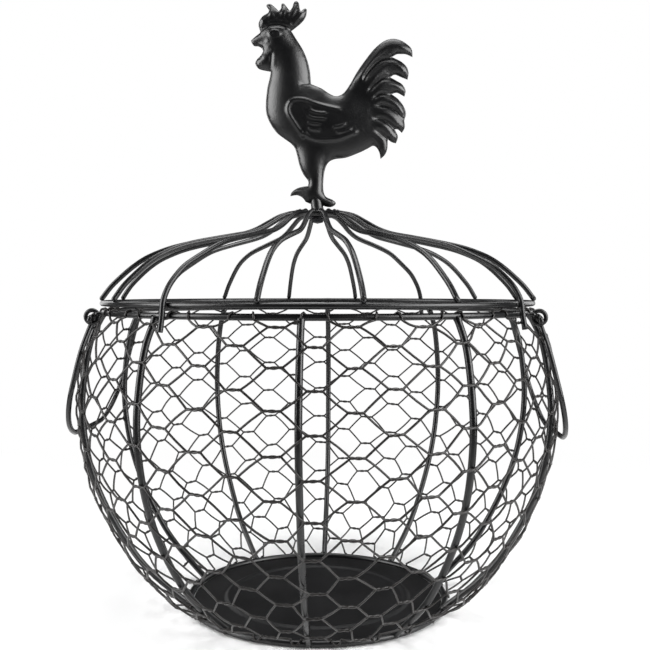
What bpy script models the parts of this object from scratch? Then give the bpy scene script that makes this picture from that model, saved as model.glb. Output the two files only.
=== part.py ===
"""Wire produce basket with a lift-off wire lid, two swinging bail handles and a rooster finial.

Origin: centre of the base plate's underside. +Z is up, and -Y is the front. Metres.
An azimuth is measured in degrees from the front (-Y) towards +X.
"""

import math

import bmesh
import bpy
from mathutils import Matrix, Vector

MM = 0.001
GAP = 0.3 * MM

# Basket: wires, rings and the belly's profile as (radius, height of the rib's centre line).
RIB_COUNT = 10
RIB_WIRE = 1.35 * MM
BASE_HEIGHT = 1.5 * MM
BASE_RADIUS = 57.6 * MM
BASE_WIRE = 1.4 * MM
RIM_RADIUS = 93.7 * MM
RIM_WIRE = 1.25 * MM
RIM_HEIGHT = 130.5 * MM
PLATE_THICKNESS = 1.2 * MM
BELLY = [
    (66.5, 9.5), (76.7, 19.5), (85.1, 31.5), (93.2, 46.5), (98.8, 61.5),
    (101.9, 76.5), (103.0, 91.5), (101.6, 106.5), (98.9, 119.5),
]
RIB_POINTS = 16

# Netting sleeve round the outside of the ribs.
NET_GAP = 0.25 * MM
NET_THICKNESS = 0.6 * MM

# Eyelets and handles.
EYELET_X = 91.9 * MM
EYELET_Y = 36.2 * MM
EYELET_Z = 128.9 * MM
EYELET_RADIUS = 2.7 * MM
EYELET_WIRE = 0.9 * MM
HANDLE_WIRE = 1.1 * MM
HANDLE_HALF_WIDTH = 39.0 * MM
HANDLE_DROP = 53.5 * MM
HANDLE_CORNER = 25.0 * MM
HANDLE_BEND = 2.0 * MM
HANDLE_LEAN = math.radians(15.0)
PIN_END = 33.6 * MM

# Lid.
LID_RIB_COUNT = 16
LID_TURN = -9.3
HOOKS = (3, 7, 11, 15)
LID_WIRE = 1.1 * MM
LID_RING_RADIUS = 94.2 * MM
LID_RING_WIRE = 1.2 * MM
LID_RING_HEIGHT = 134.4 * MM
HUB_RADIUS = 8.2 * MM
HUB_WIRE = 1.2 * MM
HUB_HEIGHT = 174.0 * MM
CROWN = [
    (77.5, 152.9), (65.0, 158.3), (53.0, 161.1), (40.0, 163.5), (32.0, 165.2), (25.0, 168.2),
    (17.5, 172.7), (10.0, 174.4),
]
LID_EDGE = [(94.6, 136.4), (91.8, 140.2), (88.0, 144.4)]
HOOK_EDGE = [
    (98.3, 124.9), (97.6, 128.0), (97.2, 131.5), (96.9, 134.6), (95.3, 138.9), (91.6, 143.5), (85.9, 148.5),
]
LID_RIB_POINTS = 16

# Rooster and the screw that holds it.
HUB_PLATE_RADIUS = 6.5 * MM
HUB_PLATE_THICKNESS = 1.6 * MM
PEG_RADIUS = 3.0 * MM
PEG_TOP = 184.0 * MM
SCREW_RADIUS = 1.5 * MM
SCREW_CLEARANCE = 0.3 * MM
SCREW_REACH = 5.0 * MM
SCREW_HEAD_RADIUS = 2.9 * MM
SCREW_HEAD_HEIGHT = 2.0 * MM
WASHER_RADIUS = 4.6 * MM
WASHER_THICKNESS = 0.8 * MM
ROOSTER_FLAT_HALF = 2.2 * MM
ROOSTER_LEG_AND_BELLY = [
    (2.6, 180.5), (2.6, 188.5), (3.2, 193.4), (4.7, 196.9), (7.6, 198.5), (12.8, 199.2), (18.8, 201.4),
    (24.7, 204.3),
]
ROOSTER_TAIL = [
    (27.6, 201.4), (28.2, 198.5), (30.1, 200.3), (31.4, 207.1), (35.0, 205.3), (35.9, 208.3),
    (34.5, 211.5), (37.6, 209.9), (38.9, 212.3), (39.4, 218.4), (36.0, 224.8), (33.0, 227.1),
    (38.7, 225.9), (39.2, 228.7), (35.1, 233.0), (32.4, 234.5), (40.0, 233.3), (39.7, 238.9),
    (33.1, 243.4), (42.2, 243.2), (41.9, 246.5), (36.6, 250.8), (33.1, 251.4), (25.5, 247.3),
    (17.6, 237.0), (11.5, 227.7),
]
ROOSTER_BACK_AND_NAPE = [
    (8.3, 226.5), (1.8, 230.0), (-2.9, 232.0), (-4.8, 243.2), (-9.2, 251.5), (-11.7, 255.5),
]
ROOSTER_COMB = [
    (-5.1, 262.1), (-4.9, 265.1), (-7.3, 264.3), (-9.6, 268.9), (-12.4, 264.5), (-15.2, 267.9),
    (-17.3, 264.5), (-22.1, 267.7), (-21.9, 265.2), (-26.5, 259.0), (-25.8, 255.8),
]
ROOSTER_FRONT = [
    (-29.9, 251.7), (-28.3, 249.2), (-24.4, 247.5), (-28.0, 241.7), (-25.5, 238.7), (-21.0, 237.7),
    (-23.2, 224.6), (-21.2, 214.7), (-14.8, 207.8), (-10.2, 203.6), (-8.0, 195.6), (-4.3, 187.5),
    (-7.2, 186.3), (-12.3, 182.2), (-6.8, 181.5), (-4.4, 180.0),
]
ROOSTER_BODY = (8.0, 213.0, 25.0, 6.2, 12.5)
ROOSTER_BREAST = (-12.0, 224.0, 11.0, 5.6, 17.0)
ROOSTER_HEAD = (-17.5, 250.0, 7.5, 4.6, 8.0)

BLACK_WIRE = ((0.012, 0.012, 0.013, 1.0), 0.38, 0.6)
BLACK_NET = ((0.020, 0.017, 0.016, 1.0), 0.45, 0.6)
BLACK_CAST = ((0.010, 0.010, 0.011, 1.0), 0.42, 0.5)
BLACK_OXIDE = ((0.020, 0.020, 0.022, 1.0), 0.45, 0.9)


def clear_scene():
    for obj in list(bpy.data.objects):
        bpy.data.objects.remove(obj, do_unlink=True)


def make_collection(name):
    collection = bpy.data.collections.new(name)
    bpy.context.scene.collection.children.link(collection)
    return collection


def material(name, look):
    colour, roughness, metallic = look
    made = bpy.data.materials.new(name)
    made.use_nodes = True
    shader = made.node_tree.nodes["Principled BSDF"]
    shader.inputs["Base Color"].default_value = colour
    shader.inputs["Roughness"].default_value = roughness
    shader.inputs["Metallic"].default_value = metallic
    made.diffuse_color = colour
    return made


def place(obj, collection, look, location=(0, 0, 0), parent=None):
    collection.objects.link(obj)
    obj.data.materials.append(material(obj.name, look))
    obj.location = location
    if parent:
        obj.parent = parent
        obj.location = Vector(location) - Vector(parent.location)
    return obj


def smooth_path(knots, count):
    """Points spaced evenly along a Catmull-Rom curve through the knots."""
    knots = [Vector(k) for k in knots]
    ends = [2 * knots[0] - knots[1]] + knots + [2 * knots[-1] - knots[-2]]
    fine = []
    for a, b, c, d in zip(ends, ends[1:], ends[2:], ends[3:]):
        for step in range(12):
            t = step / 12
            fine.append(0.5 * (2 * b + (c - a) * t + (2 * a - 5 * b + 4 * c - d) * t * t
                               + (3 * b - a - 3 * c + d) * t ** 3))
    fine.append(knots[-1])
    lengths = [0.0]
    for a, b in zip(fine, fine[1:]):
        lengths.append(lengths[-1] + (b - a).length)
    points = []
    segment = 0
    for i in range(count):
        wanted = lengths[-1] * i / (count - 1)
        while segment < len(fine) - 2 and lengths[segment + 1] < wanted:
            segment += 1
        part = (wanted - lengths[segment]) / (lengths[segment + 1] - lengths[segment])
        points.append(fine[segment].lerp(fine[segment + 1], part))
    return points


def around(radius, height, azimuth):
    turn = math.radians(azimuth)
    return Vector((radius * math.sin(turn), -radius * math.cos(turn), height))


def wire(name, points, radius, closed=False):
    """A round wire along the points, as a curve object with filled caps."""
    curve = bpy.data.curves.new(name, "CURVE")
    curve.dimensions = "3D"
    curve.bevel_depth = radius
    curve.bevel_resolution = 2
    curve.use_fill_caps = not closed
    spline = curve.splines.new("POLY")
    spline.points.add(len(points) - 1)
    for target, point in zip(spline.points, points):
        target.co = (*point, 1.0)
    spline.use_cyclic_u = closed
    spline.use_smooth = True
    return bpy.data.objects.new(name, curve)


def wire_ring(name, radius, wire_radius, count):
    points = [around(radius, 0, 360 * i / count) for i in range(count)]
    return wire(name, points, wire_radius, closed=True)


def profile_points(pairs):
    return [Vector((radius * MM, 0, height * MM)) for radius, height in pairs]


def towards(start, end, distance):
    return start + (end - start).normalized() * distance


def rib_profile():
    """The rib's centre line from just above the base ring to just under the rim ring."""
    belly = profile_points(BELLY)
    base = Vector((BASE_RADIUS, 0, BASE_HEIGHT))
    rim = Vector((RIM_RADIUS, 0, RIM_HEIGHT))
    foot = towards(base, belly[0], BASE_WIRE + GAP)
    head = towards(rim, belly[-1], RIM_WIRE + GAP)
    return [foot] + belly + [head]


def swing_round(profile, azimuth):
    return [around(point.x, point.z, azimuth) for point in profile]


def turned(name, outline, steps):
    """A solid of revolution about Z from a closed outline in the XZ plane."""
    mesh = bpy.data.meshes.new(name)
    edges = [(i, (i + 1) % len(outline)) for i in range(len(outline))]
    mesh.from_pydata([(x, 0, z) for x, z in outline], edges, [])
    obj = bpy.data.objects.new(name, mesh)
    screw = obj.modifiers.new("turn", "SCREW")
    screw.steps = steps
    screw.render_steps = steps
    screw.use_merge_vertices = True
    screw.merge_threshold = 0.00001
    screw.use_smooth_shade = True
    return obj


def disc(name, radius, bottom, top, hole=0.0, sides=48):
    """A flat disc on the Z axis, with a round hole if one is asked for."""
    made = bmesh.new()
    bmesh.ops.create_cone(
        made, cap_ends=True, segments=sides, radius1=radius, radius2=radius,
        depth=top - bottom, matrix=Matrix.Translation((0, 0, (bottom + top) / 2)),
    )
    mesh = bpy.data.meshes.new(name)
    made.to_mesh(mesh)
    made.free()
    obj = bpy.data.objects.new(name, mesh)
    if hole:
        cutter = disc(name + "_bore", hole, bottom - 5 * MM, top + 5 * MM, sides=24)
        cut(obj, cutter, "DIFFERENCE")
    return obj


def cut(obj, tool, operation):
    tool.hide_render = True
    tool.display_type = "WIRE"
    cutters.objects.link(tool)
    boolean = obj.modifiers.new(tool.name, "BOOLEAN")
    boolean.operation = operation
    boolean.object = tool
    boolean.solver = "EXACT"


def basket(collection):
    base = wire_ring("base_ring", BASE_RADIUS, BASE_WIRE, 40)
    place(base, collection, BLACK_WIRE, (0, 0, BASE_HEIGHT))
    rim = wire_ring("rim_ring", RIM_RADIUS, RIM_WIRE, 60)
    place(rim, collection, BLACK_WIRE, (0, 0, RIM_HEIGHT))
    plate = disc("base_plate", BASE_RADIUS - BASE_WIRE - GAP, 0, PLATE_THICKNESS)
    place(plate, collection, BLACK_WIRE)
    profile = smooth_path(rib_profile(), RIB_POINTS)
    for index in range(RIB_COUNT):
        points = swing_round(profile, 360 / RIB_COUNT * index)
        rib = wire(f"basket_rib_{index + 1:02d}", points, RIB_WIRE)
        place(rib, collection, BLACK_WIRE)
    netting(collection)
    for side, sign_x in (("left", -1), ("right", 1)):
        for end, sign_y in (("front", -1), ("back", 1)):
            eyelet = wire_ring(f"{side}_{end}_eyelet", EYELET_RADIUS, EYELET_WIRE, 16)
            place(eyelet, collection, BLACK_WIRE, (sign_x * EYELET_X, sign_y * EYELET_Y, EYELET_Z))
            eyelet.rotation_euler = (math.pi / 2, 0, 0)


def netting(collection):
    """The netting's envelope: a thin open sleeve that follows the ribs' outer sides."""
    path = smooth_path(rib_profile(), RIB_POINTS)
    inner, outer = [], []
    for before, point, after in zip(path, path[1:], path[2:]):
        along = (after - before).normalized()
        outward = Vector((along.z, 0, -along.x))
        start = point + outward * (RIB_WIRE + NET_GAP)
        finish = point + outward * (RIB_WIRE + NET_GAP + NET_THICKNESS)
        inner.append((start.x, start.z))
        outer.append((finish.x, finish.z))
    sleeve = turned("wire_netting", outer[::-1] + inner, 4 * RIB_COUNT)
    place(sleeve, collection, BLACK_NET)


def handle_points(side):
    """Pin through the front eyelet, front leg, bowed foot of the U, back leg and back pin."""
    width = HANDLE_HALF_WIDTH
    half = [(-PIN_END, 0.0)]
    for angle in (0, 45, 90):
        turn = math.radians(angle)
        half.append((
            -(width - HANDLE_BEND + HANDLE_BEND * math.sin(turn)),
            HANDLE_BEND * (1 - math.cos(turn)),
        ))
    half.append((-width, (HANDLE_DROP - HANDLE_CORNER) / 2))
    for angle in range(0, 91, 15):
        turn = math.radians(angle)
        half.append((
            -(width - HANDLE_CORNER + HANDLE_CORNER * math.cos(turn)),
            HANDLE_DROP - HANDLE_CORNER + HANDLE_CORNER * math.sin(turn),
        ))
    flat = half + [(-across, down) for across, down in reversed(half)]
    lean_x = side * math.sin(HANDLE_LEAN)
    lean_z = -math.cos(HANDLE_LEAN)
    return [(down * lean_x, across, down * lean_z) for across, down in flat]


def handles(collection):
    """Each handle hangs on an empty that sits on the axis through its two eyelets."""
    for name, side in (("left_handle", -1), ("right_handle", 1)):
        axis = bpy.data.objects.new(name + "_axis", None)
        axis.location = (side * EYELET_X, 0, EYELET_Z)
        axis.empty_display_size = 0.01
        collection.objects.link(axis)
        bail = wire(name, handle_points(side), HANDLE_WIRE)
        place(bail, collection, BLACK_WIRE, axis.location, axis)


def lid(collection):
    lift = bpy.data.objects.new("lid_lift_axis", None)
    lift.location = (0, 0, LID_RING_HEIGHT)
    lift.empty_display_size = 0.02
    collection.objects.link(lift)
    ring = wire_ring("lid_ring", LID_RING_RADIUS, LID_RING_WIRE, 60)
    place(ring, collection, BLACK_WIRE, (0, 0, LID_RING_HEIGHT), lift)
    hub = wire_ring("hub_ring", HUB_RADIUS, HUB_WIRE, 24)
    place(hub, collection, BLACK_WIRE, (0, 0, HUB_HEIGHT), lift)
    plain = smooth_path(profile_points(LID_EDGE + CROWN), LID_RIB_POINTS)
    hooked = smooth_path(profile_points(HOOK_EDGE + CROWN), LID_RIB_POINTS + 4)
    for index in range(LID_RIB_COUNT):
        azimuth = LID_TURN + 360 / LID_RIB_COUNT * index
        is_hook = index in HOOKS
        name = f"lid_hook_rib_{index + 1:02d}" if is_hook else f"lid_rib_{index + 1:02d}"
        rib = wire(name, swing_round(hooked if is_hook else plain, azimuth), LID_WIRE)
        place(rib, collection, BLACK_WIRE, (0, 0, 0), lift)
    finial(collection, lift)


def ellipsoid(name, shape):
    """A ball squashed to three half sizes, from (x, z, half x, half y, half z) in millimetres."""
    x, z, half_x, half_y, half_z = (value * MM for value in shape)
    made = bmesh.new()
    size = Matrix.Diagonal((half_x, half_y, half_z, 1))
    middle = Matrix.Translation((x, 0, z))
    bmesh.ops.create_uvsphere(made, u_segments=16, v_segments=10, radius=1, matrix=middle @ size)
    mesh = bpy.data.meshes.new(name)
    made.to_mesh(mesh)
    made.free()
    return bpy.data.objects.new(name, mesh)


def rooster_silhouette():
    """The flat casting's outline, extruded, as a mesh that can take Booleans."""
    curve = bpy.data.curves.new("rooster_finial", "CURVE")
    curve.dimensions = "2D"
    curve.fill_mode = "BOTH"
    curve.extrude = ROOSTER_FLAT_HALF
    outline = (ROOSTER_LEG_AND_BELLY + ROOSTER_TAIL + ROOSTER_BACK_AND_NAPE + ROOSTER_COMB
               + ROOSTER_FRONT)
    spline = curve.splines.new("POLY")
    spline.points.add(len(outline) - 1)
    for target, (x, z) in zip(spline.points, outline):
        target.co = (x * MM, z * MM, 0, 1)
    spline.use_cyclic_u = True
    flat = bpy.data.objects.new("rooster_outline", curve)
    bpy.context.scene.collection.objects.link(flat)
    flat.rotation_euler = (math.pi / 2, 0, 0)
    bpy.context.view_layer.update()
    evaluated = flat.evaluated_get(bpy.context.evaluated_depsgraph_get())
    mesh = bpy.data.meshes.new_from_object(evaluated)
    mesh.transform(flat.matrix_world)
    welded = bmesh.new()
    welded.from_mesh(mesh)
    bmesh.ops.remove_doubles(welded, verts=welded.verts, dist=0.00001)
    bmesh.ops.recalc_face_normals(welded, faces=welded.faces)
    welded.to_mesh(mesh)
    welded.free()
    bpy.data.objects.remove(flat)
    return bpy.data.objects.new("rooster_finial", mesh)


def finial(collection, lift):
    """The casting on its peg, the plate it stands on, and the screw and washer below."""
    plate_bottom = HUB_HEIGHT - HUB_PLATE_THICKNESS / 2
    plate_top = HUB_HEIGHT + HUB_PLATE_THICKNESS / 2
    bore = SCREW_RADIUS + SCREW_CLEARANCE
    rooster = rooster_silhouette()
    place(rooster, collection, BLACK_CAST, (0, 0, 0), lift)
    for name, shape in (
        ("rooster_body", ROOSTER_BODY), ("rooster_breast", ROOSTER_BREAST), ("rooster_head", ROOSTER_HEAD),
    ):
        cut_local(rooster, ellipsoid(name, shape), "UNION", lift)
    peg = disc("rooster_peg", PEG_RADIUS, plate_top + GAP, PEG_TOP + 2 * MM, sides=16)
    cut_local(rooster, peg, "UNION", lift)
    socket = disc("rooster_socket", bore, plate_top - MM, plate_top + GAP + SCREW_REACH + MM, sides=16)
    cut_local(rooster, socket, "DIFFERENCE", lift)
    plate = disc("hub_plate", HUB_PLATE_RADIUS, plate_bottom, plate_top, hole=bore, sides=32)
    place(plate, collection, BLACK_WIRE, (0, 0, 0), lift)
    washer_top = plate_bottom - GAP
    washer_bottom = washer_top - WASHER_THICKNESS
    washer = disc("finial_washer", WASHER_RADIUS, washer_bottom, washer_top, hole=bore, sides=32)
    place(washer, collection, BLACK_OXIDE, (0, 0, 0), lift)
    head_top = washer_bottom - GAP
    outline = [
        (0, plate_top + SCREW_REACH), (SCREW_RADIUS, plate_top + SCREW_REACH - 0.5 * MM),
        (SCREW_RADIUS, head_top), (SCREW_HEAD_RADIUS, head_top),
        (SCREW_HEAD_RADIUS * 0.85, head_top - SCREW_HEAD_HEIGHT * 0.7), (0, head_top - SCREW_HEAD_HEIGHT),
    ]
    screw = turned("finial_screw", outline, 16)
    place(screw, collection, BLACK_OXIDE, (0, 0, 0), lift)


def cut_local(obj, tool, operation, parent):
    """The same as cut, for a tool that travels with the lid."""
    cut(obj, tool, operation)
    tool.parent = parent
    tool.location = -Vector(parent.location)


clear_scene()
parts = make_collection("wire_produce_basket")
cutters = make_collection("cutters")
basket(parts)
handles(parts)
lid(parts)
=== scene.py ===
"""The looks of the wire produce basket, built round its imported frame.

The front is -Y. An azimuth is measured in degrees from the front towards +X. Metres, with MM for millimetres.
"""

import math
import random

import bmesh
import bpy
import numpy as np
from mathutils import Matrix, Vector
from mathutils.geometry import delaunay_2d_cdt


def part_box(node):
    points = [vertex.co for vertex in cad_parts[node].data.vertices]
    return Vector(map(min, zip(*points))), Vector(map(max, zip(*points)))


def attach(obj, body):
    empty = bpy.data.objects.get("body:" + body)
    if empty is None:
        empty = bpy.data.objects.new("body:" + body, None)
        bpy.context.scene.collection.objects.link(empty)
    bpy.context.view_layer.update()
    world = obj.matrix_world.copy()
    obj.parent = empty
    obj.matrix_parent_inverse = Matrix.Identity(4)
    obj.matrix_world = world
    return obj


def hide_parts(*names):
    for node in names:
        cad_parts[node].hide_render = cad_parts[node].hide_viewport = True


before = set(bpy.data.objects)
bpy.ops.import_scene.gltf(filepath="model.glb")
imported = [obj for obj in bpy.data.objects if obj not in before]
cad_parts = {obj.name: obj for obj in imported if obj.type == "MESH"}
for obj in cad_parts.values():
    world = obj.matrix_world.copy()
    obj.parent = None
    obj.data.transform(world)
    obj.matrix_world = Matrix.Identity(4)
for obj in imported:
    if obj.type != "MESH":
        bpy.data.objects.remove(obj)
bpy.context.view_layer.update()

MM = 0.001

# Camera: its distance from the object's axis, its height, its turn to the side and its dip.
CAMERA_DISTANCE = 0.396
CAMERA_HEIGHT = 0.1396
CAMERA_TURN = math.radians(3.5)
CAMERA_DIP = math.radians(2.22)
CAMERA_LENS = 48.6
CAMERA_SHIFT = 0.0115
SENSOR_WIDTH = 36.0
CAMERA_NEAREST = 0.01

# Light: each lamp's name, place, size and power. All lamps point at one height on the object's axis.
ROOM_LIGHT = 0.025
FLOOR_GLOW = 0.10
LAMP_AIM = 0.14
LAMPS = [
    ("left_strip", (-0.85, -0.27, 0.42), (0.58, 0.9), 11.5),
    ("right_strip", (0.80, -0.36, 0.42), (0.75, 0.9), 15.0),
    ("top_panel", (0.0, 0.10, 1.05), (0.7, 0.7), 7.0),
    ("left_back_strip", (-0.60, 0.75, 0.40), (0.30, 0.8), 1.8),
    ("right_back_strip", (0.60, 0.75, 0.40), (0.30, 0.8), 1.8),
]

# Coats: how deep the grain's bumps are, how large its specks are against its fine noise, and the range that
# most of a noise texture's values lie in.
GRAIN_DEPTH = 0.2 * MM
SPECK_SCALE = 0.6
NOISE_RANGE = (0.3, 0.7)

# Reading the CAD's wires: how far out a flank's corners lie, as a share, and how close two points are one.
FLANK_SHARE = 0.97
SAME_POINT = 0.2 * MM

# Vertices closer than this are merged, and a wire is upright where the sine of its lean is less than this.
MERGE_DISTANCE = 0.001 * MM
UPRIGHT = 0.1

# Wires. A tube's end closes at these angles, and a blunt end is a share as deep as a round one. A free end's
# reach is too short to see, and only keeps its last two points apart.
WIRE_SIDES = 16
END_ANGLES = [25, 50, 70, 85]
BLUNT = 0.25
WELD_REACH = 1.1 * MM
WELD_SPREAD = 1.32
WELD_LENGTH = 1.5 * MM
FREE_REACH = 0.0005 * MM
BASKET_RIB_SPACING = 2.0 * MM
LID_RIB_SPACING = 1.5 * MM
HANDLE_SPACING = 0.8 * MM

# Slow and fast waves along a bent wire: their height, rates over its length, the fast ones' share of the
# height, and their largest phase.
WAVER = 0.10 * MM
WAVER_SLOW = 7
WAVER_FAST = 15
WAVER_FAST_SHARE = 0.5
WAVER_PHASES = 6.28

# Rings, each with a butt weld at the back.
RING_STEPS = 288
HUB_RING_STEPS = 96
BUTT_WELD_HALF = 1.2 * MM
BUTT_WELD_SWELL = 0.06

# Base plate: the bead's place is a share of the plate's radius.
PLATE_SIDES = 128
PLATE_CREASE = 50
PLATE_EDGE_STEPS = 8
BEAD_PLACE = 0.72
BEAD_HALF = 2.6 * MM
BEAD_LIFT = 0.9 * MM
BEAD_STEPS = 12

# Eyelets: the tack weld's tilt from level, in degrees, and its thickness and flare as shares of the wire's.
EYELET_STEPS = 48
TACK_TILT = 25
TACK_STEPS = 9
TACK_THICKNESS = 0.95
TACK_FLARE = 0.45
TACK_OUT = 0.2
TACK_DOWN = 0.1

# Netting: columns of twists, from an azimuth in degrees, and rows of them, from an arc length below the rim.
# The step from row to row grows a little.
NET_COLUMNS = 46
NET_START = 2.9
NET_ROWS = 18
NET_FIRST = 4.2 * MM
NET_STEP = 7.15 * MM
NET_GROWTH = 0.029 * MM
NET_WIRE = 0.44 * MM
NET_SIDES = 6
NET_SEED = 7

# Each twist: half its length, which is also held to a share of the column, and the coil of its two strands.
NET_TWIST_HALF = 2.9 * MM
NET_TWIST_ROOM = 0.36
NET_TWIST_POINTS = 12
NET_COIL = 0.23 * MM
NET_COIL_AT_ENDS = 0.6

# The netting stands off the belly's curve by the radii of rib and strand and a clearance. Close to the rim it
# comes in to a share of that between the ribs, and each rib still lifts it over a half width.
NET_PROFILE_SPACING = 0.5 * MM
NET_CLEARANCE = 0.1 * MM
NET_RIM_EASE = 14 * MM
NET_RIM_STAND = 0.15
NET_OVER_RIB = 2.6 * MM

# How far a twist may lie from its even place where the netting is slackest: round the basket as a share of
# a column, then down, out and tilted. Its length is a random share of the usual one.
NET_SLACK_AT_RIM = 0.25
KNOT_ROUND = 0.16
KNOT_DOWN = 1.5 * MM
KNOT_OUT = 1.1 * MM
KNOT_OUT_RANGE = (-0.4, 1)
KNOT_TILT = 0.55 * MM
KNOT_LENGTHS = (0.86, 1.1)

# A strand's way from twist to twist: points at shares of the way, bowed up or down and a little outwards,
# with a bump where they pass over a rib.
SPAN_SHARES = (0.2, 0.5, 0.8)
SPAN_BOW = 0.45 * MM
SPAN_OUT = 0.25 * MM
SPAN_BUMP = 0.5 * MM
SPAN_BUMP_HALF = 2.0 * MM

# A strand's way over a ring: (share of half the wrap's length, angle round the ring's wire in degrees).
RIM_WRAP_HALF = 4.8 * MM
RIM_WRAP = [
    (-1.0, -35), (-0.97, 0), (-0.9, 50), (-0.8, 100), (-0.65, 150), (0.0, 180), (0.65, 150), (0.8, 100),
    (0.9, 50), (0.97, 0), (1.0, -35),
]
BASE_WRAP_HALF = 0.7 * NET_TWIST_HALF
BASE_WRAP = [(-1.0, 75), (-0.8, 40), (-0.5, 10), (0.0, -8), (0.5, 10), (0.8, 40), (1.0, 75)]

# Casting: the outline in millimetres as strokes that are smooth inside and sharp where they meet.
OUTLINE_SPACING = 0.5
GRID_SPACING = 0.48
GRID_CLEARANCE = 0.45 * OUTLINE_SPACING
COMB = [
    [(-25.8, 255.8), (-26.5, 259.0), (-24.8, 262.2), (-22.2, 263.8), (-21.9, 265.2), (-22.9, 266.9),
     (-22.1, 267.7), (-20.5, 267.4), (-17.3, 264.5)],
    [(-17.3, 264.5), (-16.4, 265.6), (-16.1, 267.5), (-15.2, 267.9), (-13.9, 266.4), (-12.4, 264.5)],
    [(-12.4, 264.5), (-11.4, 265.8), (-10.6, 268.0), (-9.6, 268.8), (-8.4, 267.9), (-7.9, 265.1),
     (-7.3, 264.3)],
    [(-7.3, 264.3), (-6.0, 265.3), (-4.9, 265.1), (-5.1, 262.1), (-7.1, 259.2), (-11.7, 255.5)],
]
NAPE = [
    [(-11.7, 255.5), (-9.2, 251.5), (-6.7, 247.5), (-4.8, 243.2), (-3.5, 238.2), (-2.9, 232.0)],
]
TAIL = [
    [(-2.9, 232.0), (1.8, 230.0), (5.2, 227.7), (8.3, 226.5), (11.5, 227.7), (14.4, 231.5), (17.6, 237.0),
     (21.5, 242.5), (25.5, 247.3), (29.5, 250.4), (33.1, 251.4), (36.6, 250.8), (39.9, 248.8),
     (41.9, 246.5), (42.2, 243.2)],
    [(42.2, 243.2), (39.1, 244.5), (35.5, 244.6), (33.1, 243.4)],
    [(33.1, 243.4), (37.1, 241.4), (39.7, 238.9), (40.5, 236.2), (40.0, 233.3)],
    [(40.0, 233.3), (37.1, 234.5), (34.3, 235.6), (32.4, 234.5)],
    [(32.4, 234.5), (35.1, 233.0), (37.7, 231.3), (39.2, 228.7), (38.7, 225.9)],
    [(38.7, 225.9), (35.4, 227.6), (33.0, 227.1)],
    [(33.0, 227.1), (36.0, 224.8), (38.4, 221.6), (39.4, 218.4), (38.7, 215.5)],
    [(38.7, 215.5), (38.9, 212.3), (37.6, 209.9)],
    [(37.6, 209.9), (35.9, 211.4), (34.5, 211.5)],
    [(34.5, 211.5), (35.9, 208.3), (35.0, 205.3)],
    [(35.0, 205.3), (33.0, 205.9), (31.4, 207.1)],
    [(31.4, 207.1), (31.2, 203.0), (30.1, 200.3), (28.2, 198.5)],
]
LEG = [
    [(28.2, 198.5), (27.6, 201.4), (26.3, 203.6), (24.7, 204.3), (22.4, 203.1), (18.8, 201.4),
     (12.8, 199.2), (7.6, 198.5), (4.7, 196.9), (3.2, 193.4), (2.6, 188.5), (2.7, 184.4), (3.8, 181.9),
     (6.8, 180.4), (8.2, 179.0), (7.1, 177.6), (5.0, 177.2), (2.0, 178.0), (0.1, 179.0)],
    [(0.1, 179.0), (-2.6, 178.6), (-5.3, 179.6)],
    [(-5.3, 179.6), (-6.8, 181.5), (-9.2, 182.6), (-12.3, 182.2)],
    [(-12.3, 182.2), (-11.6, 184.0), (-9.6, 185.5), (-7.2, 186.3), (-4.3, 186.7)],
]
BREAST = [
    [(-4.3, 186.7), (-4.2, 188.9), (-6.4, 192.0), (-8.0, 195.6), (-9.2, 200.4), (-10.2, 203.6),
     (-12.0, 205.8), (-14.8, 207.8), (-18.4, 210.7), (-21.2, 214.7), (-23.0, 219.1), (-23.2, 224.6),
     (-22.5, 230.8), (-21.6, 234.5), (-21.0, 237.7)],
]
FACE = [
    [(-21.0, 237.7), (-25.5, 238.7), (-27.2, 239.9), (-28.0, 241.7), (-27.2, 243.3), (-25.5, 245.0),
     (-24.4, 246.9)],
    [(-24.4, 246.9), (-25.0, 248.1), (-26.4, 249.0), (-28.3, 249.2), (-29.4, 250.4), (-29.9, 251.7)],
    [(-29.9, 251.7), (-28.0, 253.4), (-25.8, 255.1), (-25.8, 255.8)],
]

# Thickness of the casting in millimetres: a flat with a rounded edge, which is wider where it is thicker, and
# swellings that blend, each (x, z, half width, half height, half thickness).
FLAT_HALF = 2.0
EDGE_ROUND = 2.6
EDGE_ROUND_GROWTH = 2.2
DOME_POWER = 1.5
BLEND_POWER = 4
DEPTH_ROUNDS = 45
DEPTH_KEPT = 0.5
ON_OUTLINE = 0.01
SWELLINGS = [
    (7.0, 214.0, 30.0, 18.0, 5.6), (-11.0, 222.0, 18.0, 24.0, 6.0), (-12.5, 238.0, 13.5, 20.0, 4.8),
    (-17.5, 251.0, 11.5, 11.0, 4.4), (-2.5, 198.0, 11.0, 15.0, 4.2), (26.0, 222.0, 17.0, 26.0, 3.4),
    (-1.0, 183.0, 9.0, 11.0, 3.6),
]

# Relief lines in millimetres.
WING_EDGE = [
    [(-6.0, 208.1), (-8.5, 211.7), (-11.8, 216.8), (-12.8, 220.1), (-11.4, 223.2), (-8.9, 224.2),
     (-4.9, 223.9), (1.8, 221.7), (11.7, 219.2)],
    [(-5.8, 209.9), (-3.6, 208.0), (0.0, 206.7), (5.4, 206.5), (9.9, 207.0), (14.4, 208.6), (19.1, 210.4)],
]
WING_FEATHERS = [
    [(-4.1, 220.5), (-2.6, 219.2), (0.6, 218.2), (5.5, 217.9)],
    [(-5.0, 217.6), (-2.6, 216.2), (1.0, 215.6), (5.1, 215.5)],
    [(-4.8, 214.6), (-1.7, 213.5), (2.8, 213.1)],
    [(-4.6, 212.1), (-1.7, 211.1), (2.8, 210.6)],
    [(6.2, 211.7), (10.0, 212.2), (13.6, 213.8)],
    [(7.7, 209.6), (11.8, 209.9), (16.3, 211.4)],
]
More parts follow.
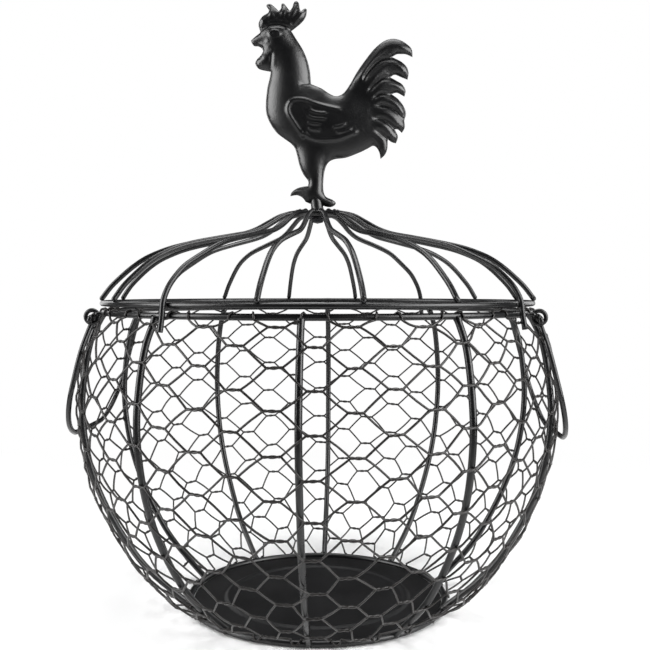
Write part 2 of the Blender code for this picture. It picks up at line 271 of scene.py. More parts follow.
TAIL_GROOVES = [
    [(33.3, 242.8), (27.2, 241.2), (21.9, 235.5), (20.1, 231.0)],
    [(32.6, 233.9), (28.1, 233.2), (23.7, 228.8), (21.9, 226.2)],
    [(33.2, 226.5), (28.1, 226.6), (23.7, 223.5)],
    [(38.9, 214.9), (34.8, 219.1), (30.4, 221.3), (24.6, 221.7)],
    [(34.7, 210.9), (31.7, 213.8), (28.1, 215.5), (23.7, 216.0)],
    [(31.6, 206.5), (28.1, 209.4), (24.6, 211.6)],
]
TAIL_QUILLS = [
    [(41.0, 244.2), (35.7, 247.3), (29.7, 246.3), (23.2, 240.2), (17.2, 231.2)],
    [(39.1, 235.6), (35.2, 239.3), (30.4, 238.6), (25.2, 234.0), (21.4, 229.2)],
    [(38.1, 227.6), (33.8, 230.6), (28.8, 230.3), (23.8, 226.6)],
    [(38.4, 217.4), (35.0, 222.4), (29.8, 224.6), (23.7, 222.7)],
    [(37.2, 211.0), (33.6, 215.6), (29.1, 218.3), (23.7, 218.9)],
    [(34.4, 206.6), (31.2, 210.8), (27.6, 212.8), (23.6, 213.8)],
]
COMB_LINE = [[(-25.0, 256.2), (-21.6, 257.4), (-17.6, 257.7), (-13.8, 256.8), (-11.2, 255.0)]]
COMB_RIDGES = [
    [(-22.0, 266.4), (-20.6, 263.0), (-20.0, 259.8)], [(-15.4, 266.6), (-15.2, 262.9), (-16.2, 260.0)],
    [(-9.7, 267.4), (-10.9, 263.0), (-13.1, 259.6)], [(-5.8, 264.2), (-8.0, 260.7), (-11.0, 257.8)],
    [(-25.2, 259.5), (-23.4, 259.4), (-22.0, 258.8)],
]
NAPE_LINE = [[(-2.9, 232.0), (-5.5, 231.4), (-8.4, 231.9)]]
MOUTH_LINE = [[(-27.6, 250.4), (-24.4, 250.9), (-21.9, 250.3)]]
WATTLE_LINE = [[(-25.4, 240.9), (-23.6, 242.6), (-22.3, 245.8)]]
WATTLE_EDGE = [[(-21.0, 238.9), (-20.6, 242.0), (-20.2, 246.6)]]
# Each relief's lines, height (under zero is a groove), width, and the lengths over which its two ends fade.
RELIEF = [
    (WING_EDGE, 0.70, 0.9, (1.0, 3.0)), (WING_FEATHERS, 0.64, 0.75, (2.0, 2.4)),
    (TAIL_GROOVES, -0.95, 0.85, (0.2, 4.0)), (TAIL_QUILLS, 0.75, 1.7, (1.5, 7.0)),
    (COMB_LINE, -0.9, 0.9, (0.3, 0.3)), (COMB_RIDGES, 0.65, 1.25, (1.0, 3.0)),
    (NAPE_LINE, -0.6, 0.9, (0.2, 3.0)), (MOUTH_LINE, -0.5, 1.0, (0.3, 2.0)),
    (WATTLE_LINE, 0.7, 2.2, (0.3, 3.0)), (WATTLE_EDGE, -0.6, 0.9, (0.3, 2.0)),
]
RELIEF_SPACING = 0.7

# The eye: a rim round it and a bump in its middle, each (height, width as a share of the eye's half).
EYE_CENTRE = (-18.9, 253.5)
EYE_HALF = (2.2, 1.35)
EYE_RIM = (0.45, 0.34)
EYE_BALL = (0.35, 0.5)

# The casting's peg leans as it rises: (rise in millimetres, girth as a share of its radius).
PEG_SHARE = 0.62
PEG_SIDES = 32
PEG_LEAN = -0.9 * MM
PEG_LEAN_POWER = 1.5
PEG_SHAPE = [
    (0.0, 1.1), (0.4, 1.16), (1.0, 1.1), (1.8, 0.98), (3.0, 0.95), (4.5, 0.93), (6.0, 0.9), (7.0, 0.8),
]

# Floor: half its width, its place just under the object, its two shades, and where it fades to white.
FLOOR_HALF = 4.0
FLOOR_DROP = 0.02 * MM
FLOOR_SHADES = (0.95, 0.97)
FLOOR_ROUGHNESS = 0.30
FLOOR_FADE = (0.12, 0.45)


# Sweeping wires


def smooth_points(knots, spacing):
    """Points about spacing apart along a Catmull-Rom curve through the knots."""
    knots = [np.array(knot, float) for knot in knots]
    ends = [2 * knots[0] - knots[1]] + knots + [2 * knots[-1] - knots[-2]]
    points = []
    for a, b, c, d in zip(ends, ends[1:], ends[2:], ends[3:]):
        steps = max(1, round(np.linalg.norm(c - b) / spacing))
        for t in np.arange(steps) / steps:
            points.append(0.5 * (2 * b + (c - a) * t + (2 * a - 5 * b + 4 * c - d) * t ** 2
                                 + (3 * b - a - 3 * c + d) * t ** 3))
    points.append(knots[-1])
    return np.array(points)


def wire_of(node):
    """(centre line, radius) of a bent CAD wire that lies in one plane. The line runs from the top down."""
    corners = np.array([vertex.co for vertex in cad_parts[node].data.vertices])
    middle = corners.mean(axis=0)
    normal = np.linalg.svd(corners - middle, full_matrices=False)[2][2]
    offset = (corners - middle) @ normal
    flat = corners - np.outer(offset, normal)
    edge = FLANK_SHARE * offset.max()
    flanks = [np.unique(np.round(flat[side * offset > edge], 5), axis=0) for side in (1, -1)]
    left = []
    for point in flanks[0]:
        partner = flanks[1][np.argmin(np.linalg.norm(flanks[1] - point, axis=1))]
        left.append((point + partner) / 2)
    radius = math.hypot(offset.max(), np.linalg.norm(left[-1] - flanks[0][-1]))
    left = np.array(left)
    start = int(np.argmax(np.linalg.norm(left - left.mean(axis=0), axis=1)))
    line = [left[start]]
    left = np.delete(left, start, axis=0)
    while len(left):
        away = np.linalg.norm(left - line[-1], axis=1)
        if away.min() > SAME_POINT:
            line.append(left[int(np.argmin(away))])
        left = np.delete(left, int(np.argmin(away)), axis=0)
    line = np.array(line)
    return (line if line[0][2] > line[-1][2] else line[::-1]), radius


def ring_size(node):
    """(radius of the centre line, radius of the wire, height) of a CAD ring round the Z axis."""
    low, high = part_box(node)
    thick = (high.z - low.z) / 2
    return high.x - thick, thick, (low.z + high.z) / 2


def add_ends(points, radii, ends):
    """Extra rings that shape a tube's two ends: 'round', 'blunt' or None for a plain cut."""
    for last, shape in ((False, ends[0]), (True, ends[1])):
        if shape is None:
            continue
        tip, inner = (points[-1], points[-2]) if last else (points[0], points[1])
        radius = radii[-1] if last else radii[0]
        out = (tip - inner) / np.linalg.norm(tip - inner)
        share = 1 if shape == "round" else BLUNT
        turns = np.radians(END_ANGLES)
        extra = [tip + out * share * radius * math.sin(turn) for turn in turns]
        thin = [radius * (1 - share * (1 - math.cos(turn))) for turn in turns]
        if last:
            points, radii = np.vstack([points, extra]), np.concatenate([radii, thin])
        else:
            points, radii = np.vstack([extra[::-1], points]), np.concatenate([thin[::-1], radii])
    return points, radii


def tube(points, radius, sides=WIRE_SIDES, closed=False, ends=("round", "round")):
    """(vertices, faces) of a round tube along the points. Radius is one number or one per point."""
    points = np.asarray(points, float)
    radii = np.broadcast_to(radius, len(points)).astype(float)
    if not closed:
        points, radii = add_ends(points, radii, ends)
    count = len(points)
    if closed:
        along = np.roll(points, -1, axis=0) - np.roll(points, 1, axis=0)
    else:
        along = np.gradient(points, axis=0)
    along /= np.linalg.norm(along, axis=1)[:, None]
    side = np.cross(along[0], (0.0, 0.0, 1.0))
    if np.linalg.norm(side) < UPRIGHT:
        side = np.cross(along[0], (0.0, 1.0, 0.0))
    across = np.empty_like(points)
    for index in range(count):
        side = side - along[index] * (side @ along[index])
        side /= np.linalg.norm(side)
        across[index] = side
    up = np.cross(along, across)
    spin = 0.0
    if closed:
        back = across[-1] - along[0] * (across[-1] @ along[0])
        spin = math.atan2(back @ up[0], back @ across[0])
    turn = 2 * math.pi * np.arange(sides) / sides
    turn = turn[None, :] - spin * np.arange(count)[:, None] / count
    rings = (points[:, None, :] + radii[:, None, None]
             * (across[:, None, :] * np.cos(turn)[:, :, None] + up[:, None, :] * np.sin(turn)[:, :, None]))
    first = np.arange(count if closed else count - 1)
    here = first[:, None] * sides + np.arange(sides)
    there = ((first + 1) % count)[:, None] * sides + np.arange(sides)
    faces = np.stack([here, np.roll(here, -1, axis=1), np.roll(there, -1, axis=1), there], axis=2)
    faces = [tuple(face) for face in faces.reshape(-1, 4).tolist()]
    if not closed:
        faces.append(tuple(range(sides - 1, -1, -1)))
        faces.append(tuple(range((count - 1) * sides, count * sides)))
    return rings.reshape(-1, 3), faces


def lathe(profile, sides):
    """(vertices, faces) of a closed profile of (radius, height) points turned round the Z axis."""
    count = len(profile)
    vertices = []
    faces = []
    for step in range(sides):
        angle = 2 * math.pi * step / sides
        vertices += [(r * math.cos(angle), r * math.sin(angle), z) for r, z in profile]
        after = (step + 1) % sides
        for index in range(count):
            next_index = (index + 1) % count
            faces.append((step * count + index, after * count + index,
                          after * count + next_index, step * count + next_index))
    return np.array(vertices), faces


def piece(name, shapes, body, look, stands_for, sharp=None):
    """Makes one mesh object from several (vertices, faces). It rides on a body in place of CAD nodes."""
    vertices = []
    faces = []
    for points, polygons in shapes:
        start = len(vertices)
        vertices += [tuple(point) for point in points]
        faces += [tuple(start + index for index in polygon) for polygon in polygons]
    mesh = bpy.data.meshes.new(name)
    mesh.from_pydata(vertices, [], faces)
    tidy = bmesh.new()
    tidy.from_mesh(mesh)
    bmesh.ops.remove_doubles(tidy, verts=tidy.verts, dist=MERGE_DISTANCE)
    bmesh.ops.recalc_face_normals(tidy, faces=tidy.faces)
    tidy.to_mesh(mesh)
    tidy.free()
    mesh.shade_smooth()
    if sharp:
        mesh.set_sharp_from_angle(angle=math.radians(sharp))
    made = bpy.data.objects.new(name, mesh)
    bpy.context.scene.collection.objects.link(made)
    mesh.materials.append(look)
    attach(made, body)
    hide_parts(*stands_for)


# Materials


def node_maker(owner):
    """Functions that add a node to a material or world, and link two sockets."""
    tree = owner.node_tree

    def add(kind, **values):
        made = tree.nodes.new(kind)
        for key, value in values.items():
            if key in made.inputs:
                made.inputs[key].default_value = value
            else:
                setattr(made, key, value)
        return made

    def link(source, output, target, entry):
        tree.links.new(source.outputs[output], target.inputs[entry])

    return add, link


def coated(name, dark, light, roughness, gloss, grain, grain_size, bump, patch_size, metallic=0.0):
    """A paint or casting finish: two shades in soft patches, uneven gloss and a fine grain.

    Grain is the share of specks in the surface's fine bumps. The two sizes are scales: higher is finer.
    """
    look = bpy.data.materials.new(name)
    look.use_nodes = True
    add, link = node_maker(look)
    shader = look.node_tree.nodes["Principled BSDF"]
    place = add("ShaderNodeTexCoord")
    patches = add("ShaderNodeTexNoise", Scale=patch_size, Detail=4.0, Roughness=0.6)
    shades = add("ShaderNodeMix", data_type="RGBA", A=(*dark, 1), B=(*light, 1))
    rough = add("ShaderNodeMapRange")
    rough.inputs["From Min"].default_value, rough.inputs["From Max"].default_value = NOISE_RANGE
    rough.inputs["To Min"].default_value, rough.inputs["To Max"].default_value = roughness
    fine = add("ShaderNodeTexNoise", Scale=grain_size, Detail=3.0, Roughness=0.55)
    specks = add("ShaderNodeTexVoronoi", Scale=grain_size * SPECK_SCALE)
    height = add("ShaderNodeMath", operation="MULTIPLY_ADD")
    height.inputs[1].default_value = grain
    dents = add("ShaderNodeBump", Strength=bump, Distance=GRAIN_DEPTH)
    for texture in (patches, fine, specks):
        link(place, "Object", texture, "Vector")
    link(patches, "Fac", shades, "Factor")
    link(patches, "Fac", rough, "Value")
    link(specks, "Distance", height, 0)
    link(fine, "Fac", height, 2)
    link(height, "Value", dents, "Height")
    link(dents, "Normal", shader, "Normal")
    link(rough, "Result", shader, "Roughness")
    link(shades, "Result", shader, "Base Color")
    shader.inputs["Metallic"].default_value = metallic
    shader.inputs["Specular IOR Level"].default_value = gloss
    return look


wire_coat = coated(
    "satin_black_powder_coat", dark=(0.0030, 0.0031, 0.0034), light=(0.0065, 0.0066, 0.0072),
    roughness=(0.24, 0.36), gloss=0.52, grain=0.35, grain_size=2600.0, bump=0.16, patch_size=60.0)
net_coat = coated(
    "netting_coat", dark=(0.0055, 0.0044, 0.0040), light=(0.0130, 0.0105, 0.0095),
    roughness=(0.30, 0.46), gloss=0.50, grain=0.5, grain_size=3200.0, bump=0.22, patch_size=140.0)
cast_coat = coated(
    "satin_black_casting", dark=(0.0022, 0.0023, 0.0026), light=(0.0048, 0.0049, 0.0055),
    roughness=(0.27, 0.37), gloss=0.62, grain=0.55, grain_size=1500.0, bump=0.20, patch_size=90.0)
sheet_coat = coated(
    "satin_black_sheet", dark=(0.0030, 0.0030, 0.0033), light=(0.0068, 0.0068, 0.0075),
    roughness=(0.42, 0.56), gloss=0.25, grain=0.45, grain_size=1900.0, bump=0.18, patch_size=40.0)
black_oxide = coated(
    "black_oxide_steel", dark=(0.018, 0.018, 0.020), light=(0.034, 0.034, 0.037), metallic=0.8,
    roughness=(0.34, 0.52), gloss=0.5, grain=0.3, grain_size=2400.0, bump=0.15, patch_size=300.0)


# Basket and lid wires


def waver(points, seed):
    """The points moved a little, but for two at each end, as a bent wire is never quite true."""
    chance = random.Random(seed)
    phase = [chance.uniform(0, WAVER_PHASES) for _ in range(6)]
    t = np.linspace(0, 1, len(points))
    moved = points.copy()
    for axis in range(3):
        slow = np.sin(WAVER_SLOW * t + phase[axis])
        fast = np.sin(WAVER_FAST * t + phase[axis + 3])
        moved[2:-2, axis] += (WAVER * (slow + WAVER_FAST_SHARE * fast))[2:-2]
    return moved


def flared(points, radius, start, end):
    """Radii along the points that swell to a weld's fillet at the ends asked for."""
    steps = np.linalg.norm(np.diff(points, axis=0), axis=1)
    run = np.concatenate([[0.0], np.cumsum(steps)])
    radii = np.full(len(points), radius)
    for wanted, distance in ((start, run), (end, run[-1] - run)):
        if wanted:
            near = np.clip(1 - distance / (WELD_LENGTH + WELD_REACH), 0, 1)
            radii = np.maximum(radii, radius * (1 + (WELD_SPREAD - 1) * near ** 2))
    return radii


def reach(points, start, end):
    """The points with each end carried on by start and end, so that a weld joins its ring."""
    before = points[0] + start * (points[0] - points[1]) / np.linalg.norm(points[0] - points[1])
    after = points[-1] + end * (points[-1] - points[-2]) / np.linalg.norm(points[-1] - points[-2])
    return np.vstack([before, points, after])


def basket_ribs():
    """Each rib is welded to the rim ring and the base ring."""
    for name in sorted(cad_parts):
        if not name.startswith("basket_rib"):
            continue
        line, radius = wire_of(name)
        line = smooth_points(reach(line, WELD_REACH, WELD_REACH), BASKET_RIB_SPACING)
        line = waver(line, name)
        radii = flared(line, radius, True, True)
        shape = tube(line, radii, ends=(None, None))
        piece("coated_" + name, [shape], "basket", wire_coat, [name])


def lid_ribs():
    """Each lid wire flares at its weld to the hub ring. Its lower end is rounded, or blunt on a hook."""
    for name in sorted(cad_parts):
        if not name.startswith("lid_") or "rib" not in name:
            continue
        hooked = "hook" in name
        line, radius = wire_of(name)
        line = smooth_points(reach(line, WELD_REACH, FREE_REACH), LID_RIB_SPACING)
        line = waver(line, name)
        radii = flared(line, radius, True, False)
        shape = tube(line, radii, ends=(None, "blunt" if hooked else "round"))
        piece("coated_" + name, [shape], "lid", wire_coat, [name])


def ring_points(radius, height, count):
    """Points of a level circle, once round from the front."""
    turn = 2 * math.pi * np.arange(count) / count
    return np.stack([radius * np.sin(turn), -radius * np.cos(turn), np.full(count, height)], axis=1)


def rings():
    """The round wires, each with the slight swelling of its butt weld at the back."""
    for name, body in (("base_ring", "basket"), ("rim_ring", "basket"), ("lid_ring", "lid"),
                       ("hub_ring", "lid")):
        radius, thick, height = ring_size(name)
        count = HUB_RING_STEPS if name == "hub_ring" else RING_STEPS
        points = ring_points(radius, height, count)
        from_back = radius * np.abs(2 * math.pi * np.arange(count) / count - math.pi)
        swell = BUTT_WELD_SWELL * np.exp(-(from_back / BUTT_WELD_HALF) ** 2)
        shape = tube(points, thick * (1 + swell), closed=True)
        piece("coated_" + name, [shape], body, wire_coat, [name])


def base_plate():
    """The bottom sheet, with a rolled edge and one pressed stiffening bead."""
    _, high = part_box("base_plate")
    edge = high.x
    top = high.z
    roll = top / 2
    profile = [(0.0, 0.0), (edge - roll, 0.0)]
    for step in range(1, PLATE_EDGE_STEPS):
        turn = math.pi * step / PLATE_EDGE_STEPS
        profile.append((edge - roll + roll * math.sin(turn), roll - roll * math.cos(turn)))
    profile.append((edge - roll, top))
    for step in range(BEAD_STEPS + 1):
        across = 1 - 2 * step / BEAD_STEPS
        lift = BEAD_LIFT * math.cos(across * math.pi / 2) ** 2
        profile.append((BEAD_PLACE * edge + BEAD_HALF * across, top + lift))
    profile.append((0.0, top))
    shape = lathe(profile, PLATE_SIDES)
    piece("coated_base_plate", [shape], "basket", sheet_coat, ["base_plate"], PLATE_CREASE)


def eyelets():
    """Each eyelet is a small ring, tacked to the rim by a short run of weld."""
    rim_radius, rim_thick, rim_height = ring_size("rim_ring")
    for side, sign_x in (("left", -1), ("right", 1)):
        for end in ("front", "back"):
            name = f"{side}_{end}_eyelet"
            low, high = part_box(name)
            middle = (np.array(low) + np.array(high)) / 2
            thick = (high.y - low.y) / 2
            radius = (high.z - low.z) / 2 - thick
            turn = 2 * math.pi * np.arange(EYELET_STEPS) / EYELET_STEPS
            loop = middle + radius * np.stack([np.cos(turn), 0 * turn, np.sin(turn)], axis=1)
            rim_x = math.sqrt(rim_radius ** 2 - middle[1] ** 2)
            start_x = sign_x * (rim_x + TACK_OUT * rim_thick)
            start = np.array([start_x, middle[1], rim_height - TACK_DOWN * rim_thick])
            tilt = math.radians(TACK_TILT)
            stop = middle + radius * np.array([-sign_x * math.cos(tilt), 0, math.sin(tilt)])
            weld = np.linspace(start, stop, TACK_STEPS)
            flare = 1 + TACK_FLARE * np.linspace(-1, 1, TACK_STEPS) ** 2
            shapes = [tube(loop, thick, closed=True), tube(weld, TACK_THICKNESS * thick * flare)]
            piece("coated_" + name, shapes, "basket", wire_coat, [name])


def handles():
    """Each handle is a bent wire with rounded ends, and is a body of its own."""
    for name in ("left_handle", "right_handle"):
        line, radius = wire_of(name)
        shape = tube(smooth_points(line, HANDLE_SPACING), radius)
        piece("coated_" + name, [shape], name, wire_coat, [name])


# Netting


def net_profile():
    """Fine points of the belly's curve: arc lengths from the rim down, (radius, height)s and normals."""
    line, _ = wire_of("basket_rib_01")
    rim_radius, _, rim_height = ring_size("rim_ring")
    base_radius, _, base_height = ring_size("base_ring")
    radius = np.concatenate([[rim_radius], np.hypot(line[:, 0], line[:, 1]), [base_radius]])
    height = np.concatenate([[rim_height], line[:, 2], [base_height]])
    fine = smooth_points(np.stack([radius, height], axis=1), NET_PROFILE_SPACING)
    run = np.concatenate([[0.0], np.cumsum(np.linalg.norm(np.diff(fine, axis=0), axis=1))])
    along = np.gradient(fine, axis=0)
    along /= np.linalg.norm(along, axis=1)[:, None]
    return run, fine, np.stack([-along[:, 1], along[:, 0]], axis=1)


def around(azimuth, radius, height):
    """The point at an azimuth in degrees, a radius and a height."""
    turn = math.radians(azimuth)
    return np.array([radius * math.sin(turn), -radius * math.cos(turn), height])


def scattered_knots(chance):
    """Each twist's azimuth, arc length, stand outwards, tilt and share of the usual length."""
    pitch = 360 / NET_COLUMNS
    knots = {}
    for level in range(-1, NET_ROWS + 1):
        arc = NET_FIRST + NET_STEP * level + NET_GROWTH * level ** 2
        slack = NET_SLACK_AT_RIM + (1 - NET_SLACK_AT_RIM) * (max(level, 0) / NET_ROWS) ** 2
        if level in (-1, NET_ROWS):
            slack = 0.0
        for column in range(NET_COLUMNS):
            knots[column, level] = (
                NET_START + pitch * column + slack * pitch * chance.uniform(-KNOT_ROUND, KNOT_ROUND),
                arc + slack * KNOT_DOWN * chance.uniform(-1, 1),
                slack * KNOT_OUT * chance.uniform(*KNOT_OUT_RANGE),
                slack * chance.uniform(-KNOT_TILT, KNOT_TILT),
                chance.uniform(*KNOT_LENGTHS),
            )
    return knots


def netting():
    """Closed strands that zigzag round the basket, each twisted with the next one up and down in turn."""
    run, fine, normals = net_profile()
    _, rib_thick = wire_of("basket_rib_01")
    rib_gap = 360 / sum(name.startswith("basket_rib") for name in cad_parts)
    rim = ring_size("rim_ring")
    base = ring_size("base_ring")
    chance = random.Random(NET_SEED)
    knots = scattered_knots(chance)
    on_rib = rib_thick + NET_WIRE + NET_CLEARANCE

    def from_rib(azimuth, radius):
        """How far a point is from the nearest rib, measured round the basket."""
        return math.radians(abs((azimuth + rib_gap / 2) % rib_gap - rib_gap / 2)) * radius

    def at(azimuth, arc, out):
        """A point of the netting, standing off the belly's curve so that it clears the ribs."""
        radius = np.interp(arc, run, fine[:, 0])
        near = math.exp(-(from_rib(azimuth, radius) / NET_OVER_RIB) ** 2)
        free = on_rib * min(1.0, max(NET_RIM_STAND, arc / NET_RIM_EASE))
        stand = free + (on_rib - free) * near + out
        height = np.interp(arc, run, fine[:, 1])
        return around(azimuth, radius + stand * np.interp(arc, run, normals[:, 0]),
                      height + stand * np.interp(arc, run, normals[:, 1]))

    def twist(column, level, lower):
        """One strand's way through a twist: wound round the other strand, from left to right."""
        azimuth, arc, out, tilt, longer = knots[column % NET_COLUMNS, level]
        azimuth += 360 * (column // NET_COLUMNS)
        radius = np.interp(arc, run, fine[:, 0])
        half = min(NET_TWIST_HALF * longer, NET_TWIST_ROOM * 2 * math.pi / NET_COLUMNS * radius)
        points = []
        for step in range(NET_TWIST_POINTS + 1):
            share = step / NET_TWIST_POINTS
            turn = 2 * math.pi * share + (0 if lower else math.pi)
            ease = min(1.0, 4 * share, 4 * (1 - share))
            across = math.degrees(half * (2 * share - 1) / radius)
            coil = NET_COIL * (NET_COIL_AT_ENDS + (1 - NET_COIL_AT_ENDS) * ease)
            points.append(at(azimuth + across, arc + tilt * (2 * share - 1) + coil * math.cos(turn),
                             out + coil * math.sin(turn)))
        return points

    def wrap(column, level, ring, half_length, way):
        """One strand's way over a ring at the top or bottom of the netting."""
        ring_radius, ring_thick, ring_height = ring
        azimuth = knots[column % NET_COLUMNS, level][0] + 360 * (column // NET_COLUMNS)
        stand = ring_thick + NET_WIRE
        half = math.degrees(half_length / ring_radius)
        points = []
        for share, angle in way:
            lean = math.radians(angle)
            points.append(around(azimuth + half * share, ring_radius + stand * math.cos(lean),
                                 ring_height + stand * math.sin(lean)))
        return points

    def visit(column, level, lower):
        """One strand's way through the twist, or over the ring, at this column and level."""
        if level < 0:
            return wrap(column, level, rim, RIM_WRAP_HALF, RIM_WRAP)
        if level == NET_ROWS:
            return wrap(column, level, base, BASE_WRAP_HALF, BASE_WRAP)
        return twist(column, level, lower)

    shapes = []
    for strand in range(-1, NET_ROWS):
        path = []
        for column in range(NET_COLUMNS):
            upper = (column + strand) % 2 == 1
            stops = visit(column, strand if upper else strand + 1, upper)
            following = visit(column + 1, strand + 1 if upper else strand, not upper)
            path += stops
            start, finish = stops[-1], following[0]
            azimuths = [math.degrees(math.atan2(p[0], -p[1])) for p in (start, finish)]
            if azimuths[1] < azimuths[0] - 180:
                azimuths[1] += 360
            bow = chance.uniform(-SPAN_BOW, SPAN_BOW)
            for share in SPAN_SHARES:
                straight = start + (finish - start) * share
                outward = np.array([straight[0], straight[1], 0.0])
                outward /= np.linalg.norm(outward)
                sag = math.sin(math.pi * share)
                azimuth = azimuths[0] + (azimuths[1] - azimuths[0]) * share
                distance = from_rib(azimuth, np.linalg.norm(straight[:2]))
                bump = SPAN_BUMP * math.exp(-(distance / SPAN_BUMP_HALF) ** 2)
                path.append(straight + outward * (SPAN_OUT * sag + bump) + np.array([0, 0, bow * sag]))
        shapes.append(tube(path, NET_WIRE, NET_SIDES, closed=True))
    piece("hexagonal_netting", shapes, "basket", net_coat, ["wire_netting"])


# Casting


def outline_points():
    """The casting's outline as one closed loop, going round once."""
    loop = []
    for stroke in COMB + NAPE + TAIL + LEG + BREAST + FACE:
        loop += list(smooth_points(stroke, OUTLINE_SPACING)[:-1])
    return np.array(loop)


def distance_to(points, line):
    """Each point's distance to a polyline."""
    best = np.full(len(points), np.inf)
    for a, b in zip(line, line[1:]):
        along = b - a
        share = np.clip((points - a) @ along / max(along @ along, 1e-9), 0, 1)
        best = np.minimum(best, np.linalg.norm(points - a - share[:, None] * along, axis=1))
    return best


def inside(points, loop):
    """Whether each point is inside the closed loop."""
    found = np.zeros(len(points), bool)
    x, z = points[:, 0], points[:, 1]
    for (ax, az), (bx, bz) in zip(loop, np.roll(loop, -1, axis=0)):
        if az == bz:
            continue
        crosses = (az > z) != (bz > z)
        found ^= crosses & (x < (bx - ax) * (z - az) / (bz - az) + ax)
    return found


def thickness(points, depth):
    """Half the casting's thickness at each point, which lies at a depth inside the outline."""
    half = np.full(len(points), FLAT_HALF)
    total = np.zeros(len(points))
    for x, z, half_x, half_z, swell in SWELLINGS:
        reach_out = ((points[:, 0] - x) / half_x) ** 2 + ((points[:, 1] - z) / half_z) ** 2
        dome = (swell - FLAT_HALF) * np.clip(1 - reach_out, 0, 1) ** DOME_POWER
        total += dome ** BLEND_POWER
    half += total ** (1 / BLEND_POWER)
    edge = np.clip(depth / (EDGE_ROUND + EDGE_ROUND_GROWTH * (half - FLAT_HALF)), 0, 1)
    for lines, height, width, fades in RELIEF:
        for line in lines:
            way = smooth_points(line, RELIEF_SPACING)
            off = distance_to(points, way)
            strength = height * np.exp(-(off / width) ** 2)
            for tip, length in zip((way[0], way[-1]), fades):
                share = np.clip(np.linalg.norm(points - tip, axis=1) / length, 0, 1)
                strength *= share * share * (3 - 2 * share)
            half = half + strength
    eye = np.hypot((points[:, 0] - EYE_CENTRE[0]) / EYE_HALF[0], (points[:, 1] - EYE_CENTRE[1]) / EYE_HALF[1])
    for middle, (height, width) in ((1, EYE_RIM), (0, EYE_BALL)):
        half = half + height * np.exp(-((eye - middle) / width) ** 2)
    return half * np.sqrt(1 - (1 - edge) ** 2)


def softened(depth, triangles):
    """The depths averaged with their neighbours', but kept at zero along the outline."""
    pairs = np.array([(a, b) for face in triangles for a, b in zip(face, face[1:] + face[:1])])
    pairs = np.unique(np.sort(pairs, axis=1), axis=0)
    on_outline = depth < ON_OUTLINE
    near = np.bincount(pairs.ravel(), minlength=len(depth))
    for _ in range(DEPTH_ROUNDS):
        total = np.bincount(pairs[:, 0], weights=depth[pairs[:, 1]], minlength=len(depth))
        total += np.bincount(pairs[:, 1], weights=depth[pairs[:, 0]], minlength=len(depth))
        mean = total / np.maximum(near, 1)
        depth = np.where(on_outline, 0.0, DEPTH_KEPT * depth + (1 - DEPTH_KEPT) * mean)
    return depth


def casting_faces():
    """(vertices, faces) of the rooster: one triangulated face, mirrored to the back."""
    loop = outline_points()
    low, high = loop.min(axis=0), loop.max(axis=0)
    row_gap = GRID_SPACING * math.sqrt(3) / 2
    grid = []
    for row in range(int((high[1] - low[1]) / row_gap) + 1):
        shift = GRID_SPACING / 2 if row % 2 else 0.0
        across = np.arange(low[0] + shift, high[0], GRID_SPACING)
        grid += [(x, low[1] + row * row_gap) for x in across]
    grid = np.array(grid)
    closed_loop = np.vstack([loop, loop[:1]])
    grid = grid[inside(grid, loop)]
    grid = grid[distance_to(grid, closed_loop) > GRID_CLEARANCE]
    flat = np.vstack([loop, grid])
    edges = [(i, (i + 1) % len(loop)) for i in range(len(loop))]
    placed, _, triangles, *_ = delaunay_2d_cdt([Vector(p) for p in flat], edges, [], 1, 1e-6)
    placed = np.array([tuple(p) for p in placed])
    depth = softened(distance_to(placed, closed_loop), triangles)
    half = thickness(placed, depth)
    count = len(placed)
    front = np.stack([placed[:, 0], -half, placed[:, 1]], axis=1)
    back = np.stack([placed[:, 0], half, placed[:, 1]], axis=1)
    faces = [tuple(face) for face in triangles]
    faces += [tuple(count + index for index in reversed(face)) for face in triangles]
    return np.vstack([front, back]) * MM, faces


def rooster():
    """The casting on its round peg, which stands on the hub plate."""
    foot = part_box("hub_plate")[1].z
    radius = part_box("finial_washer")[1].x * PEG_SHARE
    rise, girth = np.array(PEG_SHAPE).T
    lean = PEG_LEAN * (rise / rise[-1]) ** PEG_LEAN_POWER
    peg = np.stack([lean, 0 * rise, foot + rise * MM], axis=1)
    shapes = [casting_faces(), tube(peg, radius * girth, PEG_SIDES, ends=(None, "round"))]
    piece("rooster_casting", shapes, "lid", cast_coat, ["rooster_finial"])


# Kept CAD nodes


def finish_node(name, look):
    """Gives a material to a CAD node that stays as it is."""
    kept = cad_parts[name]
    if not kept.material_slots:
        kept.data.materials.append(look)
    for slot in kept.material_slots:
        slot.material = look


# Stage


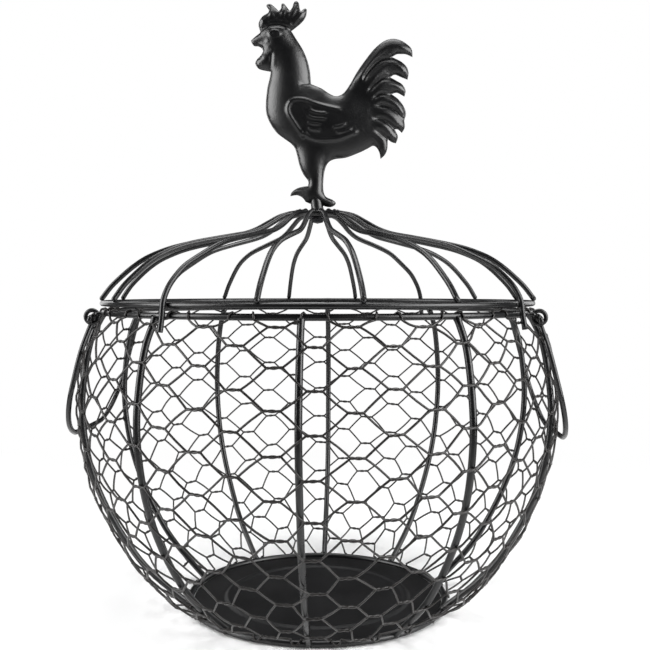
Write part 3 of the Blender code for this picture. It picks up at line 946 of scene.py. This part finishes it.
def floor_look():
    """Pale and faintly glossy under the object, and fading to plain white further out."""
    look = bpy.data.materials.new("pale_floor")
    look.use_nodes = True
    add, link = node_maker(look)
    shader = look.node_tree.nodes["Principled BSDF"]
    place = add("ShaderNodeTexCoord")
    cloudy = add("ShaderNodeTexNoise", Scale=1.5, Detail=2.0)
    darker, paler = [(shade, shade, shade, 1) for shade in FLOOR_SHADES]
    shades = add("ShaderNodeMix", data_type="RGBA", A=darker, B=paler)
    distance = add("ShaderNodeVectorMath", operation="LENGTH")
    fade = add("ShaderNodeMapRange", interpolation_type="SMOOTHSTEP")
    fade.inputs["From Min"].default_value, fade.inputs["From Max"].default_value = FLOOR_FADE
    white = add("ShaderNodeEmission", Color=(1, 1, 1, 1))
    rays = add("ShaderNodeLightPath")
    shown = add("ShaderNodeMapRange")
    shown.inputs["To Min"].default_value = FLOOR_GLOW
    link(rays, "Is Camera Ray", shown, "Value")
    link(shown, "Result", white, "Strength")
    blended = add("ShaderNodeMixShader")
    link(place, "Object", cloudy, "Vector")
    link(place, "Object", distance, 0)
    link(distance, "Value", fade, "Value")
    link(cloudy, "Fac", shades, "Factor")
    link(shades, "Result", shader, "Base Color")
    shader.inputs["Roughness"].default_value = FLOOR_ROUGHNESS
    link(fade, "Result", blended, "Fac")
    link(shader, "BSDF", blended, 1)
    link(white, "Emission", blended, 2)
    link(blended, "Shader", look.node_tree.nodes["Material Output"], "Surface")
    return look


def white_room():
    """Plain white behind the object, and a dim even light on it."""
    world = bpy.data.worlds.new("white_room")
    world.use_nodes = True
    add, link = node_maker(world)
    shown = world.node_tree.nodes["Background"]
    shown.inputs["Color"].default_value = (1, 1, 1, 1)
    dim = add("ShaderNodeBackground", Strength=ROOM_LIGHT)
    rays = add("ShaderNodeLightPath")
    chosen = add("ShaderNodeMixShader")
    link(rays, "Is Camera Ray", chosen, "Fac")
    link(dim, "Background", chosen, 1)
    link(shown, "Background", chosen, 2)
    link(chosen, "Shader", world.node_tree.nodes["World Output"], "Surface")
    bpy.context.scene.world = world


def studio():
    """A pale floor, a white surround and large soft lamps."""
    floor_mesh = bpy.data.meshes.new("floor")
    corners = [(x * FLOOR_HALF, y * FLOOR_HALF, 0) for x, y in ((-1, -1), (1, -1), (1, 1), (-1, 1))]
    floor_mesh.from_pydata(corners, [], [(0, 1, 2, 3)])
    floor = bpy.data.objects.new("floor", floor_mesh)
    floor.location.z = -FLOOR_DROP
    bpy.context.scene.collection.objects.link(floor)
    floor_mesh.materials.append(floor_look())
    white_room()
    for name, place, size, power in LAMPS:
        lamp = bpy.data.lights.new(name, "AREA")
        lamp.shape = "RECTANGLE"
        lamp.size, lamp.size_y = size
        lamp.energy = power
        stand = bpy.data.objects.new(name, lamp)
        stand.location = place
        aim = Vector((0, 0, LAMP_AIM)) - Vector(place)
        stand.rotation_euler = aim.to_track_quat("-Z", "Y").to_euler()
        bpy.context.scene.collection.objects.link(stand)


def camera():
    """The photo's view."""
    lens = bpy.data.cameras.new("camera")
    lens.sensor_width = SENSOR_WIDTH
    lens.lens = CAMERA_LENS
    lens.shift_x = CAMERA_SHIFT
    lens.clip_start = CAMERA_NEAREST
    made = bpy.data.objects.new("camera", lens)
    made.location = (CAMERA_DISTANCE * math.sin(CAMERA_TURN), -CAMERA_DISTANCE * math.cos(CAMERA_TURN),
                     CAMERA_HEIGHT)
    made.rotation_euler = (math.pi / 2 - CAMERA_DIP, 0, CAMERA_TURN)
    bpy.context.scene.collection.objects.link(made)
    bpy.context.scene.camera = made


camera()
studio()
bpy.context.scene.view_settings.view_transform = "Standard"
rings()
base_plate()
basket_ribs()
eyelets()
handles()
lid_ribs()
netting()
rooster()
finish_node("hub_plate", sheet_coat)
finish_node("finial_screw", black_oxide)
finish_node("finial_washer", black_oxide)
